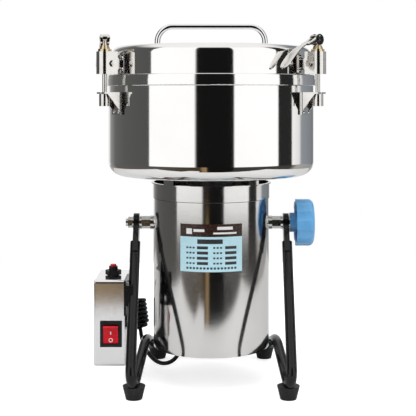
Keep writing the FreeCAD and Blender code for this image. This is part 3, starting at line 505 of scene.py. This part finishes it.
# ------------------------------------------------------------------- levers

CLAMP_TURNS = {"front_right": -30, "rear": 90, "front_left": 210}
LEVER_HEADING = 110
LEVER_SLOPE = math.radians(31)
CAM_PHASE = math.radians(71)
CAM_OFFSET = 2.8
CAM_RADIUS = 7 * MM
CAM_THICKNESS = 2.6 * MM
CHEEK_OFFSET = 4.3
PIN_HEAD = 3.4 * MM
PIN_HEAD_REACH = 1.38
PIN_RADIUS = 2.2 * MM
PIN_LENGTH = 13 * MM
PIN_SIDES = 24
ARM_HALF_WIDTH = 1.3 * MM
ARM = ((2, .8, 3.6), (8, 1.2, 3.4), (16, 2.2, 2.4), (24, 4.0, 1.4))
PADDLE_START = 9
PADDLE_LENGTH = 63
PADDLE_STEPS = 24
PADDLE_HALF_THICKNESS = 1.2 * MM
NECK_HALF_WIDTH = 4.2
PADDLE_WIDENING = 3.6
TIP_START = .86
SHARP_EDGE = math.radians(35)


def add_disc(work, place, radius, centre, thickness, sides=40):
    """A disc across the lever, centred on a point of the lever's own frame."""
    turn = Matrix.Rotation(math.radians(90), 4, "X")
    bmesh.ops.create_cone(work, cap_ends=True, segments=sides, radius1=radius,
                          radius2=radius, depth=thickness,
                          matrix=place @ Matrix.Translation(centre) @ turn)


def add_blade(work, place, sections):
    """A closed bar through cross sections, each (x, middle z, half width, half thickness)."""
    rows = []
    for x, z, half, thick in sections:
        ring = [(-half, -thick * .5), (-half * .6, -thick), (half * .6, -thick),
                (half, -thick * .5), (half, thick * .5), (half * .6, thick),
                (-half * .6, thick), (-half, thick * .5)]
        rows.append([work.verts.new(place @ Vector((x, y, z + up))) for y, up in ring])
    for first, second in zip(rows, rows[1:]):
        for k in range(8):
            work.faces.new((first[k], first[(k + 1) % 8], second[(k + 1) % 8], second[k]))
    work.faces.new(rows[0])
    work.faces.new(rows[-1][::-1])


def lever_maker(place):
    """The over-centre lever: two cam discs on a pin, two arms and a curved paddle."""
    cam = Vector((CAM_OFFSET * math.sin(CAM_PHASE), 0, -CAM_OFFSET * math.cos(CAM_PHASE))) * MM
    paddle = []
    for k in range(PADDLE_STEPS + 1):
        t = k / PADDLE_STEPS
        x = PADDLE_START + PADDLE_LENGTH * t
        rise = 1.0 + 5.0 * math.sin(math.pi * min(1, t * 1.05)) - 3.0 * t * t
        half = NECK_HALF_WIDTH + PADDLE_WIDENING * min(1, max(0, (t - .18) / .5)) ** 1.2
        if t > TIP_START:
            half *= math.sqrt(max(.08, 1 - ((t - TIP_START) / .15) ** 2))
        paddle.append((x * MM, rise * MM, half * MM, PADDLE_HALF_THICKNESS))

    def make(work):
        for side in (-1, 1):
            across = Vector((0, side * CHEEK_OFFSET * MM, 0))
            add_disc(work, place, CAM_RADIUS, cam + across, CAM_THICKNESS)
            add_disc(work, place, PIN_HEAD, across * PIN_HEAD_REACH, 1.0 * MM, PIN_SIDES)
            add_blade(work, place @ Matrix.Translation(across),
                      [(x * MM, z * MM, ARM_HALF_WIDTH, up * MM) for x, z, up in ARM])
        add_disc(work, place, PIN_RADIUS, Vector(), PIN_LENGTH, PIN_SIDES)
        add_blade(work, place, paddle)
    return make


def levers(made):
    """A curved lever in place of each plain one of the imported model."""
    for clamp, angle in CLAMP_TURNS.items():
        pin = Vector(JOINTS[f"lever_lift_{clamp}"]["pos_m"])
        turn = Matrix.Rotation(math.radians(angle - LEVER_HEADING), 4, "Z")
        slope = Matrix.Rotation(LEVER_SLOPE, 4, "Y")
        place = Matrix.Translation(pin) @ turn @ slope
        lever = new_piece(f"paddle_{clamp}", lever_maker(place), f"lever_{clamp}")
        lever.data.materials.append(made["clamp_steel"])
        lever.data.shade_smooth()
        lever.data.set_sharp_from_angle(angle=SHARP_EDGE)
        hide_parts(f"lever_{clamp}")


# --------------------------------------------------------- stage and lights

STRIPES = [(-180, .95), (-157, .80), (-150, .30), (-132, .13), (-110, .10), (-71.5, .085),
           (-70.5, 1.12), (-17.5, 1.10), (-16.5, .007), (24, .007), (25, 1.10), (77.3, 1.12),
           (78, .020), (99, .022), (100, .95), (113, .80), (118, .30), (150, .22), (157, .10),
           (160, .85), (180, .95)]
LOW_STRIPES = [(-180, .70), (-150, .30), (-132, .12), (-71, .090), (-11.5, .060),
               (-10.5, .26), (-5, .34), (-4, .007), (24, .007), (25, .040), (60, .055),
               (99, .050), (110, .40), (150, .30), (180, .70)]
LOW_EDGE = (-.140, -.122)
OVERHEAD_EDGE = (0.62, 0.80)
AMBER_SPAN = (-17, -4.5)
BLUISH_SPAN = (115, 158)
FLOOR_CORNERS = ((-.72, -.43), (-.26, -.43), (-.22, -.56), (-.12, -.56), (-.10, -.43),
                 (.72, -.43), (.72, .90), (-.72, .90))
FLOOR_LEVEL = -0.0005
FLOOR_GLOW = .72


def stripes(nodes, around, stops, warm):
    """A band of grey levels against the direction round the mill, in degrees from the front.

    A warm band has an amber stripe beside the front. The right rear is bluish in every band.
    """
    ramp = nodes.add("ShaderNodeValToRGB")
    elements = ramp.color_ramp.elements
    elements[0].position, elements[1].position = 0, 1
    for angle, _ in stops[1:-1]:
        elements.new((angle + 180) / 360)
    for element, (angle, level) in zip(elements, stops):
        element.color = (level, level * (1 - warm), level * (1 - 2 * warm), 1)
        if warm and AMBER_SPAN[0] < angle < AMBER_SPAN[1]:
            element.color = (level, level * .68, level * .34, 1)
        if BLUISH_SPAN[0] < angle < BLUISH_SPAN[1]:
            element.color = (level * .94, level, level * 1.08, 1)
    nodes.join(around, ramp.inputs["Fac"])
    return ramp.outputs["Color"]


def make_world():
    """Studio surroundings: two tall softboxes in front, dark flags between and beside them."""
    world = bpy.data.worlds.new("studio")
    world.use_nodes = True
    bpy.context.scene.world = world
    nodes = Nodes(world.node_tree)
    place = nodes.add("ShaderNodeTexCoord")
    split = nodes.add("ShaderNodeSeparateXYZ")
    nodes.join(place.outputs["Generated"], split.inputs["Vector"])
    flip = nodes.add("ShaderNodeMath", operation="MULTIPLY")
    flip.inputs[1].default_value = -1
    nodes.join(split.outputs["Y"], flip.inputs[0])
    turn = nodes.add("ShaderNodeMath", operation="ARCTAN2")
    nodes.join(split.outputs["X"], turn.inputs[0])
    nodes.join(flip.outputs[0], turn.inputs[1])
    around = nodes.spread(turn.outputs[0], 0, 1, -math.pi, math.pi)
    high = stripes(nodes, around, STRIPES, 0)
    low = stripes(nodes, around, LOW_STRIPES, .05)
    sky = nodes.mix(nodes.spread(split.outputs["Z"], 0, 1, *LOW_EDGE), low, high)
    overhead = nodes.spread(split.outputs["Z"], 0, 1, *OVERHEAD_EDGE)
    sky = nodes.mix(overhead, sky, (.95, .95, .95))
    lights = nodes.add("ShaderNodeLightPath")
    seen = nodes.mix(lights.outputs["Is Camera Ray"], sky, (1.0, 1.0, 1.0))
    background = world.node_tree.nodes["Background"]
    nodes.join(seen, background.inputs["Color"])
    background.inputs["Strength"].default_value = 1.0


def make_floor():
    """A wide, pale, plain floor with a short tongue at the front left, lit up for the camera."""
    mesh = bpy.data.meshes.new("floor")
    work = bmesh.new()
    work.faces.new([work.verts.new((x, y, 0)) for x, y in FLOOR_CORNERS])
    work.to_mesh(mesh)
    work.free()
    floor = bpy.data.objects.new("floor", mesh)
    bpy.context.scene.collection.objects.link(floor)
    floor.location.z = FLOOR_LEVEL
    material = finish_of("floor", ((.66, .66, .66), (.68, .68, .68)), (.6, .7), scale=2,
                         grain=20)
    nodes = Nodes(material.node_tree)
    shader = material.node_tree.nodes["Principled BSDF"]
    shader.inputs["Emission Color"].default_value = (1, 1, 1, 1)
    lights = nodes.add("ShaderNodeLightPath")
    glow = nodes.spread(lights.outputs["Is Camera Ray"], 0, FLOOR_GLOW, 0, 1)
    nodes.join(glow, shader.inputs["Emission Strength"])
    mesh.materials.append(material)


def area_light(name, place, target, size, power):
    """A soft square light aimed at a point."""
    data = bpy.data.lights.new(name, "AREA")
    data.shape = "RECTANGLE"
    data.size, data.size_y = size
    data.energy = power
    light = bpy.data.objects.new(name, data)
    light.location = place
    aim = Vector(target) - Vector(place)
    light.rotation_euler = aim.to_track_quat("-Z", "Y").to_euler()
    light.visible_glossy = False
    bpy.context.scene.collection.objects.link(light)


def make_lights():
    """Soft fill from above and from the front sides, seen in no reflection."""
    area_light("top", (0, -.3, 1.8), (0, 0, .2), (1.6, 1.6), 14)
    area_light("left", (-1.4, -1.4, .9), (0, 0, .22), (.9, 1.4), 9)
    area_light("right", (1.4, -1.4, .9), (0, 0, .22), (.9, 1.4), 9)


make_camera()
cord = curly_cord()
finishes = materials()
paint(finishes)
cord.data.materials.append(finishes["cord_rubber"])
for face in cord.data.polygons:
    face.use_smooth = True
label_print(finishes)
switch_marks(finishes)
levers(finishes)
make_world()
make_floor()
make_lights()
bpy.context.scene.view_settings.view_transform = "Standard"
